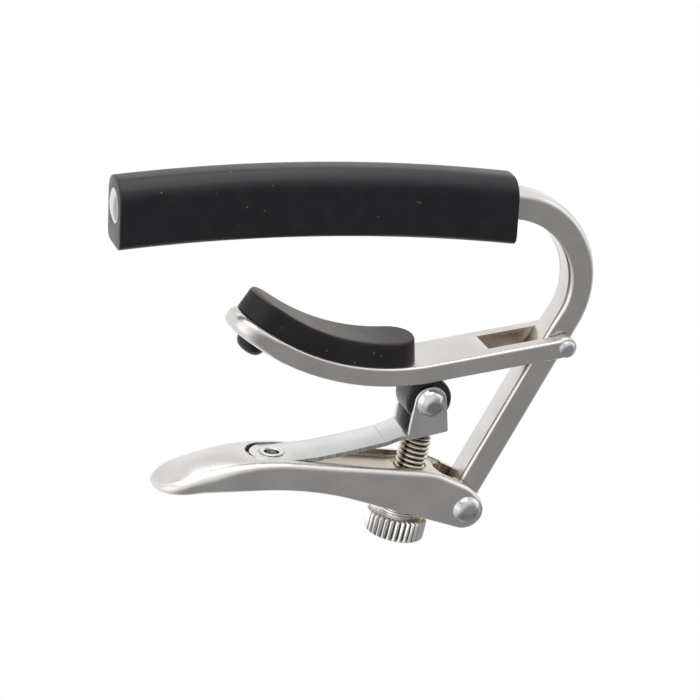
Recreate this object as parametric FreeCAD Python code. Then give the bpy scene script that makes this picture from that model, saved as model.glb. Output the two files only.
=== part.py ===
import FreeCAD, Part
import math
import os

# Guitar capo with a toggle lever.  Units are millimetres.
# Frame: origin on the sleeve's underside at its middle, where the strings are pressed.
# +X runs along the sleeve to the bend, +Z points away from the strings, Y across the capo.
# The capo is symmetric about the plane Y = 0, and the outlines are drawn in X and Z.
# They are drawn from a level a little above the sleeve's underside, and every part is
# lifted by that much at the end.

Vec = FreeCAD.Vector
Y_AXIS = Vec(0, 1, 0)
# ---- driving dimensions -------------------------------------------------------------

FRAME_LIFT = 0.7

# frame bar: one bent bar, gently arched along the fingerboard, with a domed end
BAR_THICK = 4.35
BAR_WIDE = 5.0
BAR_EDGE = 0.6
ARCH_RADIUS = 285.0
ARCH_END_SLOPE = 6.1
BEND_RADIUS = 12.9
BEND_CENTRE = (30.1, -8.85)
BAR_LEFT_END = -30.8
END_LEAN = 2.5
BAR_DOME_RADIUS = 2.6
BAR_DOME_TALL = 0.55

# rubber sleeve on the bar, its two ends cut parallel
SLEEVE_ENDS = (-30.8, 30.5)
SLEEVE_WIDE = 8.0
SLEEVE_TALL = 10.6
SLEEVE_TOP_EDGE = 3.0
SLEEVE_BOTTOM_EDGE = 2.6

# pivots of the mechanism, each an axis along Y
ARM_PIVOT = (40.7, -18.35)
LEVER_PIVOT = (27.1, -44.75)
ROLLER_AXIS = (19.8, -27.1)

# arm: a straight shank with the slot, a bend, and a straight round-ended tip
ARM_WIDE = 9.8
ARM_THICK = 3.0
ARM_RADIUS = 38.0
ARM_CENTRE = (13.1, 15.62)
ARM_SHANK_SLOPE = 9.6
ARM_TIP_SLOPE = 32.6
ARM_TIP_RUN = 5.8
ARM_EYE_RADIUS = 1.68
ARM_EYE_RISE = 0.12
ARM_SLOT_WIDE = 5.4
ARM_SLOT_START = 28.5
ARM_EDGE = 0.5

# neck pad on the arm, and the bumper button under the arm's tip
PAD_WIDE = 8.2
PAD_THICK = 3.75
PAD_RIGHT_ANGLE = 6.9
PAD_LEFT_RUN = 5.1
PAD_EDGE = 0.8
BUMPER_RUN = 0.2
BUMPER_RADIUS = 2.35
BUMPER_TALL = 1.9
BUMPER_STEM_RADIUS = 1.2

# lever: tip, hollow belly, nose round the pivot, shoulder and crest
LEVER_WIDE = 10.1
LEVER_TIP = (-21.8, -40.1)
LEVER_TIP_RADIUS = 0.6
LEVER_BELLY_CENTRE = (-6.0, -90.2)
LEVER_BELLY_RADIUS = 50.0
LEVER_NOSE_CENTRE = (26.85, -44.85)
LEVER_NOSE_RADIUS = 3.1
LEVER_SHOULDER_CENTRE = (18.8, -48.1)
LEVER_SHOULDER_RADIUS = 10.0
LEVER_CREST_CENTRE = (-4.6, -66.2)
LEVER_CREST_RADIUS = 30.5
LEVER_TAB_RADIUS = 4.85
LEVER_TAB_CENTRE_X = -17.6
LEVER_EDGE = 0.4
LEVER_SLOT_WIDE = 5.4
LEVER_SLOT_START = 23.4
POCKET_WIDE = 7.2
POCKET_DEEP = 1.15
POCKET_LEFT_END = -8.0
POCKET_RIGHT_END = 25.0

# spring strap: its top surface from the round end to the clevis, then the two ears
STRAP_WIDE = 6.9
STRAP_THICK = 0.7
STRAP_TOP = [(-7.3, -35.85), (-1.0, -35.85), (3.0, -35.45), (7.4, -34.65), (13.4, -33.4),
             (16.2, -32.35), (22.7, -31.05)]
CLEVIS_WIDE = 7.5
CLEVIS_START = 16.2
EAR_FOOT = [(16.5, -33.0), (23.1, -31.65)]
EAR_RADIUS = 2.6

# hollow rivet that holds the strap down in the lever's pocket
EYELET_X = -3.85
EYELET_FLANGE_RADIUS = 1.9
EYELET_FLANGE_TALL = 0.3
EYELET_TUBE_RADIUS = 1.45
EYELET_HOLE_RADIUS = 1.15
EYELET_FOOT = -39.95
EYELET_GAP = 0.2

# domed rivets: (shank radius, head radius, head height)
ARM_RIVET = (0.9, 1.4, 0.7)
LEVER_RIVET = (1.25, 2.25, 1.3)
ROLLER_RIVET = (1.1, 2.25, 1.3)
RUNNING_GAP = 0.05

# roller between the ears
ROLLER_RADIUS = 3.65
ROLLER_LONG = 5.9
ROLLER_EDGE = 0.5

# thumbscrew with a No. 10 thread, its axis leaning from the vertical
SCREW_FOOT = (17.54, -46.65)
SCREW_LEAN = 8.8
SCREW_RADIUS = 2.415
SCREW_TIP = 1.2
SCREW_LONG = 13.85
HEAD_RADIUS = 4.85
HEAD_TALL = 3.6
HEAD_EDGE = 0.4
COLLAR_RADIUS = 3.15
COLLAR_TALL = 1.05

BIG = 120.0


# ---- helpers ------------------------------------------------------------------------

def at(x, z, y=0.0):
    """Point from X and Z, with Y last because most points lie on Y = 0."""
    return Vec(x, y, z)


def slope(degrees):
    """Unit vector in the XZ plane, rising by the given angle towards +X."""
    angle = math.radians(degrees)
    return Vec(math.cos(angle), 0, math.sin(angle))


def line(start, end):
    return Part.LineSegment(start, end).toShape()


def arc(start, middle, end):
    return Part.Arc(start, middle, end).toShape()


def belt(circles):
    """Closed wire round oriented circles (x, z, radius), joined by tangent lines.

    The circles are listed anticlockwise.  A negative radius is a hollow stretch, and a
    zero radius a sharp corner.
    """
    touch = []
    for i, (x1, z1, r1) in enumerate(circles):
        x2, z2, r2 = circles[(i + 1) % len(circles)]
        normal = math.atan2(z2 - z1, x2 - x1) + math.acos((r2 - r1) / math.hypot(x2 - x1, z2 - z1))
        out = slope(math.degrees(normal))
        touch.append((at(x1, z1) - out * r1, at(x2, z2) - out * r2))
    edges = []
    for i, (x, z, radius) in enumerate(circles):
        arrive = touch[i - 1][1]
        leave = touch[i][0]
        if radius:
            first = math.atan2(arrive.z - z, arrive.x - x)
            sweep = (math.atan2(leave.z - z, leave.x - x) - first) % (2 * math.pi)
            if radius < 0:
                sweep -= 2 * math.pi
            middle = at(x, z) + slope(math.degrees(first + sweep / 2)) * abs(radius)
            edges.append(arc(arrive, middle, leave))
        edges.append(line(leave, touch[i][1]))
    return Part.Wire(edges)


def plate(wire, width, y_middle=0.0):
    """Solid of the given width along Y, standing on a closed XZ wire."""
    face = Part.Face(wire)
    face.translate(Vec(0, y_middle - width / 2, 0))
    return face.extrude(Vec(0, width, 0))


def rod(centre, radius, width, y_middle=0.0):
    """Cylinder along Y about a pivot."""
    start = at(centre[0], centre[1], y_middle - width / 2)
    return Part.makeCylinder(radius, width, start, Y_AXIS)


def wide_block(x_start, x_end, width):
    """Block between two X values, of the given width, reaching far up and down."""
    return Part.makeBox(x_end - x_start, width, 2 * BIG, Vec(x_start, -width / 2, -BIG))


def round_end(centre, direction, radius):
    """Tool for common(): keeps a half-round end and all that lies beyond it."""
    normal = direction.cross(Y_AXIS)
    start = centre - normal * BIG
    cylinder = Part.makeCylinder(radius, 2 * BIG, start, normal)
    left = start - Y_AXIS * radius
    right = start + Y_AXIS * radius
    corners = [left, right, right + direction * BIG, left + direction * BIG, left]
    slab = Part.Face(Part.makePolygon(corners)).extrude(normal * 2 * BIG)
    return cylinder.fuse(slab).removeSplitter()


def sharp_edges(solid, wanted=lambda middle: True):
    """Edges where two faces meet at a corner, leaving out straight edges along Y."""
    chosen = []
    for edge in solid.Edges:
        faces = solid.ancestorsOfType(edge, Part.Face)
        if len(faces) != 2:
            continue
        parameter = (edge.FirstParameter + edge.LastParameter) / 2
        middle = edge.valueAt(parameter)
        if abs(edge.tangentAt(parameter).y) > 0.99:
            continue
        normals = [face.normalAt(*face.Surface.parameter(middle)) for face in faces]
        if math.degrees(normals[0].getAngle(normals[1])) > 20 and wanted(middle):
            chosen.append(edge)
    return chosen


def domed_rivet(centre, sizes, grip):
    """Rivet along Y: a shank with a domed head at each end of the grip."""
    shank, head, tall = sizes
    ball_radius = (head * head + tall * tall) / (2 * tall)
    rivet = rod(centre, shank, grip)
    for side in (-1, 1):
        face = side * grip / 2
        ball_centre = at(centre[0], centre[1], face - side * (ball_radius - tall))
        ball = Part.makeSphere(ball_radius, ball_centre)
        rivet = rivet.fuse(ball.common(rod(centre, head, tall, face + side * tall / 2)))
    return rivet.removeSplitter()


# ---- frame bar and sleeve -----------------------------------------------------------

def arch_centre():
    """Centre of the bar's long arch, which runs into the bend without a corner."""
    return at(*BEND_CENTRE) - slope(90 - ARCH_END_SLOPE) * (ARCH_RADIUS - BEND_RADIUS)


def on_arch(x, radius):
    """Point with the given x on a circle about the arch's centre."""
    centre = arch_centre()
    return at(x, centre.z + math.sqrt(radius ** 2 - (x - centre.x) ** 2))


def arch_arc(start, end, radius):
    return arc(start, on_arch((start.x + end.x) / 2, radius), end)


def leg_direction():
    """Direction from the lever pivot up the straight leg, tangent to the bend."""
    reach = at(*BEND_CENTRE) - at(*LEVER_PIVOT)
    swing = math.asin(BEND_RADIUS / reach.Length)
    return slope(math.degrees(math.atan2(reach.z, reach.x) - swing))


def make_frame_bar():
    half = BAR_THICK / 2
    inner = ARCH_RADIUS - half
    outer = ARCH_RADIUS + half
    up_end = slope(90 + END_LEAN)
    end = on_arch(BAR_LEFT_END, ARCH_RADIUS)
    bend = at(*BEND_CENTRE)
    foot = at(*LEVER_PIVOT)
    up_arch = slope(90 - ARCH_END_SLOPE)
    leg = leg_direction()
    side = Vec(leg.z, 0, -leg.x)
    middle = (up_arch + side).normalize()
    bend_in = BEND_RADIUS - half
    bend_out = BEND_RADIUS + half
    outline = Part.Wire([
        arch_arc(end + up_end * half, bend + up_arch * bend_out, outer),
        arc(bend + up_arch * bend_out, bend + middle * bend_out, bend + side * bend_out),
        line(bend + side * bend_out, foot + side * half),
        arc(foot + side * half, foot - leg * half, foot - side * half),
        line(foot - side * half, bend + side * bend_in),
        arc(bend + side * bend_in, bend + middle * bend_in, bend + up_arch * bend_in),
        arch_arc(bend + up_arch * bend_in, end - up_end * half, inner),
        line(end - up_end * half, end + up_end * half),
    ])
    bar = plate(outline, BAR_WIDE)
    bar = bar.makeFillet(BAR_EDGE, sharp_edges(bar, lambda middle: middle.x > BAR_LEFT_END + 1))
    bar = bar.fuse(make_bar_dome(end)).removeSplitter()
    bar = bar.cut(rod(ARM_PIVOT, ARM_RIVET[0] + RUNNING_GAP, BIG))
    return bar.cut(rod(LEVER_PIVOT, LEVER_RIVET[0] + RUNNING_GAP, BIG))


def make_bar_dome(end):
    """Shallow round dome that closes the bar's left end, outside the sleeve."""
    outward = slope(180 + END_LEAN)
    ball_radius = (BAR_DOME_RADIUS ** 2 + BAR_DOME_TALL ** 2) / (2 * BAR_DOME_TALL)
    ball = Part.makeSphere(ball_radius, end - outward * (ball_radius - BAR_DOME_TALL))
    return ball.common(Part.makeCylinder(BAR_DOME_RADIUS, BAR_DOME_TALL, end, outward))


def make_bar_sleeve(bar):
    """Sleeve on the bar, its underside FRAME_LIFT below the drawing's zero level."""
    low = -arch_centre().z - FRAME_LIFT
    high = low + SLEEVE_TALL
    lean = SLEEVE_TALL / 2 * math.tan(math.radians(END_LEAN))
    left, right = SLEEVE_ENDS
    corners = [on_arch(left + lean, low), on_arch(right + lean, low),
               on_arch(right - lean, high), on_arch(left - lean, high)]
    outline = Part.Wire([
        arch_arc(corners[0], corners[1], low),
        line(corners[1], corners[2]),
        arch_arc(corners[2], corners[3], high),
        line(corners[3], corners[0]),
    ])
    sleeve = plate(outline, SLEEVE_WIDE)
    sleeve = sleeve.makeFillet(SLEEVE_TOP_EDGE, long_edges(sleeve, True))
    sleeve = sleeve.makeFillet(SLEEVE_BOTTOM_EDGE, long_edges(sleeve, False))
    return sleeve.cut(bar)


def long_edges(sleeve, upper):
    """The sleeve's two long edges, either the upper pair or the lower pair."""
    middle = sleeve.BoundBox.Center
    length = (SLEEVE_ENDS[1] - SLEEVE_ENDS[0]) / 2
    pair = []
    for edge in sharp_edges(sleeve):
        if edge.Length > length and (edge.CenterOfMass.z > middle.z) == upper:
            pair.append(edge)
    return pair


# ---- arm, neck pad and bumper -------------------------------------------------------

def on_arm_bend(degrees, radius):
    """Point on a circle about the arm's bend centre, turned from straight down."""
    return at(*ARM_CENTRE) + slope(degrees - 90) * radius


def on_arm_tip(run, lift):
    """Point on the arm's straight tip: run past the bend, lift above its middle."""
    outward = slope(-ARM_TIP_SLOPE) * -run
    return on_arm_bend(-ARM_TIP_SLOPE, ARM_RADIUS) + outward + slope(90 - ARM_TIP_SLOPE) * lift


def make_arm():
    half = ARM_THICK / 2
    high_tip = on_arm_tip(ARM_TIP_RUN, half)
    low_tip = on_arm_tip(ARM_TIP_RUN, -half)
    arm = plate(belt([
        (ARM_CENTRE[0], ARM_CENTRE[1], ARM_RADIUS + half),
        (ARM_PIVOT[0], ARM_PIVOT[1], half),
        (ARM_CENTRE[0], ARM_CENTRE[1], half - ARM_RADIUS),
        (high_tip.x, high_tip.z, 0),
        (low_tip.x, low_tip.z, 0),
    ]), ARM_WIDE)
    tip_centre = on_arm_tip(ARM_TIP_RUN - ARM_WIDE / 2, 0)
    arm = arm.common(round_end(tip_centre, slope(-ARM_TIP_SLOPE), ARM_WIDE / 2))
    arm = arm.makeFillet(ARM_EDGE, sharp_edges(arm))
    eye = rod((ARM_PIVOT[0], ARM_PIVOT[1] + ARM_EYE_RISE), ARM_EYE_RADIUS, ARM_WIDE)
    arm = arm.fuse(eye.makeFillet(ARM_EDGE, sharp_edges(eye)))
    slot = Part.makeBox(BIG, ARM_SLOT_WIDE, 2 * BIG, Vec(0, -ARM_SLOT_WIDE / 2, -BIG))
    slot.rotate(Vec(0, 0, 0), Y_AXIS, -ARM_SHANK_SLOPE)
    slot.translate(at(ARM_SLOT_START, ARM_PIVOT[1]))
    arm = arm.cut(slot)
    arm = arm.cut(rod(ARM_PIVOT, ARM_RIVET[0], BIG))
    return arm.cut(bumper_stem())


def bumper_stem():
    """Peg of the bumper, as long as the arm is thick."""
    foot = on_arm_tip(BUMPER_RUN, -ARM_THICK / 2)
    return Part.makeCylinder(BUMPER_STEM_RADIUS, ARM_THICK, foot, slope(90 - ARM_TIP_SLOPE))


def make_arm_bumper():
    foot = on_arm_tip(BUMPER_RUN, -ARM_THICK / 2)
    up = slope(90 - ARM_TIP_SLOPE)
    ball_radius = (BUMPER_RADIUS ** 2 + BUMPER_TALL ** 2) / (2 * BUMPER_TALL)
    ball = Part.makeSphere(ball_radius, foot + up * (ball_radius - BUMPER_TALL))
    disc = Part.makeCylinder(BUMPER_RADIUS, BUMPER_TALL, foot - up * BUMPER_TALL, up)
    return ball.common(disc).fuse(bumper_stem()).removeSplitter()


def make_neck_pad():
    low = ARM_RADIUS - ARM_THICK / 2
    high = low - PAD_THICK
    right = PAD_RIGHT_ANGLE
    left = -ARM_TIP_SLOPE
    middle = (right + left) / 2
    left_low = on_arm_tip(PAD_LEFT_RUN, ARM_THICK / 2)
    left_high = on_arm_tip(PAD_LEFT_RUN, ARM_THICK / 2 + PAD_THICK)
    pad = plate(Part.Wire([
        arc(on_arm_bend(left, low), on_arm_bend(middle, low), on_arm_bend(right, low)),
        line(on_arm_bend(right, low), on_arm_bend(right, high)),
        arc(on_arm_bend(right, high), on_arm_bend(middle, high), on_arm_bend(left, high)),
        line(on_arm_bend(left, high), left_high),
        line(left_high, left_low),
        line(left_low, on_arm_bend(left, low)),
    ]), PAD_WIDE)
    half = PAD_WIDE / 2
    left_centre = on_arm_tip(PAD_LEFT_RUN - half, 0)
    right_centre = on_arm_bend(right - math.degrees(half / ARM_RADIUS), ARM_RADIUS)
    pad = pad.common(round_end(left_centre, slope(-ARM_TIP_SLOPE), half))
    pad = pad.common(round_end(right_centre, slope(right) * -1, half))
    top = sharp_edges(pad, lambda p: above_arm(p) > PAD_THICK / 2)
    return pad.makeFillet(PAD_EDGE, top)


def above_arm(point):
    """Height of a point above the arm's top surface."""
    bend_end = on_arm_bend(-ARM_TIP_SLOPE, ARM_RADIUS)
    if point.x > bend_end.x:
        to_centre = point.distanceToPoint(at(ARM_CENTRE[0], ARM_CENTRE[1], point.y))
        return ARM_RADIUS - ARM_THICK / 2 - to_centre
    return (point - bend_end).dot(slope(90 - ARM_TIP_SLOPE)) - ARM_THICK / 2


# ---- lever --------------------------------------------------------------------------

def lever_outline(sink=0.0):
    """Side outline of the lever, with its top sunk by the given depth."""
    tip_x, tip_z = LEVER_TIP
    return belt([
        (tip_x, tip_z - sink, LEVER_TIP_RADIUS),
        (LEVER_BELLY_CENTRE[0], LEVER_BELLY_CENTRE[1], -LEVER_BELLY_RADIUS),
        (LEVER_NOSE_CENTRE[0], LEVER_NOSE_CENTRE[1], LEVER_NOSE_RADIUS - sink),
        (LEVER_SHOULDER_CENTRE[0], LEVER_SHOULDER_CENTRE[1], LEVER_SHOULDER_RADIUS - sink),
        (LEVER_CREST_CENTRE[0], LEVER_CREST_CENTRE[1], LEVER_CREST_RADIUS - sink),
    ])


def make_lever():
    lever = plate(lever_outline(), LEVER_WIDE)
    along = Vec(1, 0, 0)
    lever = lever.common(round_end(at(LEVER_TAB_CENTRE_X, LEVER_TIP[1]), along, LEVER_TAB_RADIUS))
    lever = lever.makeFillet(LEVER_EDGE, sharp_edges(lever))
    pocket_half = POCKET_WIDE / 2
    pocket = round_end(at(POCKET_LEFT_END + pocket_half, LEVER_TIP[1]), along, pocket_half)
    pocket = pocket.common(wide_block(POCKET_LEFT_END, POCKET_RIGHT_END, POCKET_WIDE))
    pocket = pocket.common(plate(lever_outline(), BIG)).cut(plate(lever_outline(POCKET_DEEP), BIG))
    lever = lever.cut(pocket)
    lever = lever.cut(wide_block(LEVER_SLOT_START, BIG, LEVER_SLOT_WIDE))
    lever = lever.cut(rod(LEVER_PIVOT, LEVER_RIVET[0], BIG))
    lever = lever.cut(eyelet_cylinder(EYELET_TUBE_RADIUS, -BIG, 0))
    return lever.cut(screw_cylinder(SCREW_RADIUS + RUNNING_GAP, -SCREW_LONG, 2 * SCREW_LONG))


# ---- strap, its rivet and the roller ------------------------------------------------

def make_strap():
    top = [at(x, z) for x, z in STRAP_TOP]
    low = [point - Vec(0, 0, STRAP_THICK) for point in reversed(top)]
    sheet = Part.makePolygon(top + low + [top[0]])
    half = STRAP_WIDE / 2
    strap = plate(sheet, STRAP_WIDE)
    strap = strap.common(round_end(at(STRAP_TOP[0][0] + half, 0), Vec(1, 0, 0), half))
    base = plate(sheet, CLEVIS_WIDE).common(wide_block(CLEVIS_START, BIG, CLEVIS_WIDE))
    strap = strap.fuse(base)
    ear_outline = belt([
        (EAR_FOOT[0][0], EAR_FOOT[0][1], 0),
        (EAR_FOOT[1][0], EAR_FOOT[1][1], 0),
        (ROLLER_AXIS[0], ROLLER_AXIS[1], EAR_RADIUS),
    ])
    for side in (-1, 1):
        strap = strap.fuse(plate(ear_outline, STRAP_THICK, side * (CLEVIS_WIDE - STRAP_THICK) / 2))
    strap = strap.removeSplitter()
    strap = strap.cut(rod(ROLLER_AXIS, ROLLER_RIVET[0], BIG))
    return strap.cut(eyelet_cylinder(EYELET_TUBE_RADIUS + EYELET_GAP, -BIG, BIG))


def eyelet_cylinder(radius, low, high):
    """Upright cylinder through the strap's hole, between two Z values."""
    return Part.makeCylinder(radius, high - low, at(EYELET_X, low))


def make_strap_rivet():
    flange_low = STRAP_TOP[0][1] + EYELET_GAP
    flange_high = flange_low + EYELET_FLANGE_TALL
    tube = eyelet_cylinder(EYELET_TUBE_RADIUS, EYELET_FOOT, flange_high)
    tube = tube.fuse(eyelet_cylinder(EYELET_FLANGE_RADIUS, flange_low, flange_high))
    hole = eyelet_cylinder(EYELET_HOLE_RADIUS, EYELET_FOOT + EYELET_TUBE_RADIUS, BIG)
    return tube.cut(hole).removeSplitter()


def make_roller():
    roller = rod(ROLLER_AXIS, ROLLER_RADIUS, ROLLER_LONG)
    roller = roller.makeFillet(ROLLER_EDGE, sharp_edges(roller))
    return roller.cut(rod(ROLLER_AXIS, ROLLER_RIVET[0] + RUNNING_GAP, BIG))


# ---- thumbscrew ---------------------------------------------------------------------

def screw_cylinder(radius, low, tall):
    """Cylinder on the screw's axis, its foot measured up from the top of the head."""
    axis = slope(90 - SCREW_LEAN)
    return Part.makeCylinder(radius, tall, at(*SCREW_FOOT) + axis * low, axis)


def make_screw_stud():
    """Plain rod of the thread's outer size, with a blunt cone where it meets the strap."""
    axis = slope(90 - SCREW_LEAN)
    straight = SCREW_LONG - SCREW_TIP
    rod_part = screw_cylinder(SCREW_RADIUS, 0, straight)
    top = at(*SCREW_FOOT) + axis * straight
    cone = Part.makeCone(SCREW_RADIUS, SCREW_RADIUS - SCREW_TIP, SCREW_TIP, top, axis)
    return rod_part.fuse(cone).removeSplitter()


def make_screw_head():
    head = screw_cylinder(HEAD_RADIUS, -HEAD_TALL, HEAD_TALL)
    return head.makeFillet(HEAD_EDGE, [edge for edge in head.Edges if edge.isClosed()])


def make_screw_collar():
    collar = screw_cylinder(COLLAR_RADIUS, RUNNING_GAP, COLLAR_TALL)
    return collar.cut(screw_cylinder(SCREW_RADIUS + RUNNING_GAP, -BIG, 2 * BIG))


# ---- all parts ----------------------------------------------------------------------

def main():
    os.makedirs("parts", exist_ok=True)
    bar = make_frame_bar()
    parts = {
        "frame_bar": bar,
        "bar_sleeve": make_bar_sleeve(bar),
        "arm": make_arm(),
        "arm_pivot_rivet": domed_rivet(ARM_PIVOT, ARM_RIVET, ARM_WIDE),
        "neck_pad": make_neck_pad(),
        "arm_bumper": make_arm_bumper(),
        "lever": make_lever(),
        "lever_pivot_rivet": domed_rivet(LEVER_PIVOT, LEVER_RIVET, LEVER_WIDE),
        "spring_strap": make_strap(),
        "strap_rivet": make_strap_rivet(),
        "roller": make_roller(),
        "roller_rivet": domed_rivet(ROLLER_AXIS, ROLLER_RIVET, CLEVIS_WIDE),
        "screw_stud": make_screw_stud(),
        "screw_head": make_screw_head(),
        "screw_collar": make_screw_collar(),
    }
    for name, shape in parts.items():
        shape.translate(Vec(0, 0, FRAME_LIFT))
        shape.exportStep("parts/" + name + ".step")
        print(name, shape.isValid(), len(shape.Solids), round(shape.Volume, 1))


main()
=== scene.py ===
import bmesh
import bpy
import math
from mathutils import Matrix, Vector


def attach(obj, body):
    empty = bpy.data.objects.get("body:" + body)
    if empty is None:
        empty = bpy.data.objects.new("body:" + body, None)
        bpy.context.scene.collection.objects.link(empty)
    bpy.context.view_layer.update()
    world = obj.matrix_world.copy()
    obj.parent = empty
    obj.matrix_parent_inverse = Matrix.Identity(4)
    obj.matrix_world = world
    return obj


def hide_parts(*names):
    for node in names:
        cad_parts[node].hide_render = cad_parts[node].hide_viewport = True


# Guitar capo.  Lengths here are millimetres in the part's own frame: +X along the sleeve
# to the bend, +Z away from the strings, Y across.  Everything is symmetric about Y = 0.
# Heights are drawn from a level FRAME_LIFT above the sleeve's underside, and each piece is
# lifted by that much when it is put in place.

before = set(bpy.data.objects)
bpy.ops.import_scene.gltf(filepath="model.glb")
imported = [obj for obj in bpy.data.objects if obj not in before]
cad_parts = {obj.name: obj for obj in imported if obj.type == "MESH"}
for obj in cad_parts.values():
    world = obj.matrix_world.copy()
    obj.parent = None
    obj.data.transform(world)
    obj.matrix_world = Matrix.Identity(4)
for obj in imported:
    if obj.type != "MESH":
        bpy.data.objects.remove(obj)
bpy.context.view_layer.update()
MM = 0.001


# ---- dimensions ----

FRAME_LIFT = 0.7

BAR_THICK = 4.35
BAR_WIDE = 5.0
BAR_OUTER_EDGE = 1.45
BAR_CHAMFER = 0.62
BAR_CHAMFER_LEG = 0.3
BAR_CHAMFER_SLEEVE = 0.1
CHAMFER_FADE_ABOVE = (8, 58)
CHAMFER_FADE_BELOW = (12, 40)
ARCH_RADIUS = 285.0
ARCH_END = 83.9
BEND_RADIUS = 12.9
BEND_CENTRE = (30.1, -8.85)
BAR_LEFT_END = -30.8
END_LEAN = 2.5
BAR_DOME_RADIUS = 2.6
BAR_DOME_TALL = 0.55
BAR_DOME_EDGE = 0.08
DOME_PLUG = (1.5, 1.9)

SLEEVE_ENDS = (-30.8, 30.5)
SLEEVE_WIDE = 7.8
SLEEVE_TALL = 10.28
SLEEVE_TOP_EDGE = 3.0
SLEEVE_BOTTOM_EDGE = 1.5
SLEEVE_RIM = 0.16
SLEEVE_RISE = 0.32
CHANNEL_GAP = 0.03
CHANNEL_EDGE = 0.2

ARM_PIVOT = (40.7, -18.35)
LEVER_PIVOT = (27.1, -44.75)
ROLLER_AXIS = (19.8, -27.1)

ARM_WIDE = 9.8
ARM_THICK = 3.0
ARM_RADIUS = 38.0
ARM_CENTRE = (13.1, 15.62)
ARM_SHANK_SLOPE = 9.6
ARM_TIP_SLOPE = 32.6
ARM_TIP_RUN = 5.8
ARM_EYE_RADIUS = 1.68
ARM_EYE_RISE = 0.12
ARM_SLOT_WIDE = 5.4
ARM_SLOT_START = 28.5
ARM_EDGE = 0.5
ARM_TIP_EDGE = 1.2
ARM_CUT_EDGE = 0.14

PAD_WIDE = 8.2
PAD_THICK = 3.75
PAD_RIGHT_ANGLE = 6.9
PAD_LEFT_RUN = 5.1
PAD_EDGE = 0.6
PAD_FOOT_EDGE = 0.12
BUMPER_RUN = 0.2
BUMPER_RADIUS = 2.35
BUMPER_TALL = 1.9
BUMPER_PLUG = (0.8, 1.2)

LEVER_WIDE = 10.1
LEVER_TIP = (-21.8, -40.1, 0.6)
LEVER_BELLY = (-6.0, -90.2, -50.0)
LEVER_NOSE = (26.85, -44.85, 3.1)
LEVER_NAPE = (24.8, -44.7, 4.4)
LEVER_SHOULDER = (18.8, -48.1, 10.0)
LEVER_CREST = (-4.6, -66.2, 30.5)
LEVER_TAB_RADIUS = 4.85
LEVER_TAB_CENTRE_X = -17.6
LEVER_TOP_EDGE = 1.15
LEVER_LOW_EDGE = 0.55
TAB_TOP_EDGE = 1.7
TAB_LOW_EDGE = 1.5
TAB_EDGE_FADE = (-20.0, -4.0)
TAB_CROWN = 1.1
TAB_CROWN_X = -16.0
TAB_CROWN_END = -3.0
LEVER_CUT_EDGE = 0.18
LEVER_FLOOR = -60
LEVER_SLOT_WIDE = 5.4
LEVER_SLOT_START = 22.7
POCKET_WIDE = 7.2
POCKET_DEEP = 1.15
POCKET_END_DEEP = 0.3
POCKET_LEFT_END = -8.0
POCKET_RIGHT_END = 25.0
POCKET_EDGE = 0.35

STRAP_WIDE = 6.9
STRAP_THICK = 0.7
STRAP_TOP = [(-7.3, -35.85), (-1.0, -35.85), (3.0, -35.45), (7.4, -34.65), (13.4, -33.4),
             (16.2, -32.35), (22.7, -31.05)]
STRAP_FOLD = STRAP_TOP[4][0]
STRAP_EDGE = 0.07
BEND_REACH = 0.35
SCORE_HALF = 0.09
SCORE_DEEP = 0.1
CLEVIS_WIDE = 7.5
CLEVIS_START = 16.2
FLARE_START = CLEVIS_START - 0.9
FLARE_RATE = 0.2
EAR_FOOT = [(16.5, -33.0), (23.1, -31.65)]
EAR_RADIUS = 2.6
EAR_ROOT = 0.3
EAR_EDGE = 0.24

EYELET_X = -3.85
EYELET_TUBE_RADIUS = 1.45
EYELET_HOLE_RADIUS = 1.15
EYELET_FLANGE_RADIUS = 1.9
EYELET_RIM = 0.15
EYELET_LIP = 0.3
EYELET_LONG = 4.1
EYELET_SEAT = 0.2
ROLLER_RADIUS = 3.65
ROLLER_LONG = 5.9
ROLLER_EDGE = 0.55
ROLLER_HUB_RADIUS = 2.5
ROLLER_HUB_DEEP = 0.2

# Shank radius, head radius and head height.
ARM_RIVET = (0.9, 1.4, 0.7)
LEVER_RIVET = (1.25, 2.25, 1.3)
ROLLER_RIVET = (1.1, 2.25, 1.3)
RIVET_EDGE = 0.12

SCREW_FOOT = (17.54, -46.65)
SCREW_LEAN = 8.8
SCREW_RADIUS = 2.415
SCREW_TIP = 1.2
SCREW_LONG = 13.85
THREAD_PITCH = 0.794
THREAD_DEPTH = 0.5
HEAD_RADIUS = 4.85
HEAD_TALL = 3.6
COLLAR_RADIUS = 3.15
COLLAR_TALL = 1.05
COLLAR_EDGE = 0.12
COLLAR_GROOVES = 2
COLLAR_GROOVE_DEEP = 0.16
KNURLS = 32
KNURL_DEEP = 0.5

SIDE = Vector((0, 1, 0))
UP = Vector((0, 0, 1))


# ---- geometry helpers ----

def at(x, z, y=0.0):
    return Vector((x, y, z))


def slope(degrees):
    """Unit vector in the XZ plane, rising by the given angle towards +X."""
    angle = math.radians(degrees)
    return Vector((math.cos(angle), 0, math.sin(angle)))


def spread(start, end, count):
    """Evenly spaced values from start to end, both included."""
    return [start + (end - start) * i / (count - 1) for i in range(count)]


def finish_mesh(name, bm, angle=32.0):
    """Object from a bmesh, smooth except where faces meet at a corner."""
    bmesh.ops.remove_doubles(bm, verts=bm.verts, dist=1e-4)
    bmesh.ops.recalc_face_normals(bm, faces=bm.faces)
    mesh = bpy.data.meshes.new(name)
    bm.to_mesh(mesh)
    bm.free()
    mesh.shade_smooth()
    mesh.set_sharp_from_angle(angle=math.radians(angle))
    piece = bpy.data.objects.new(name, mesh)
    bpy.context.scene.collection.objects.link(piece)
    return piece


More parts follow.
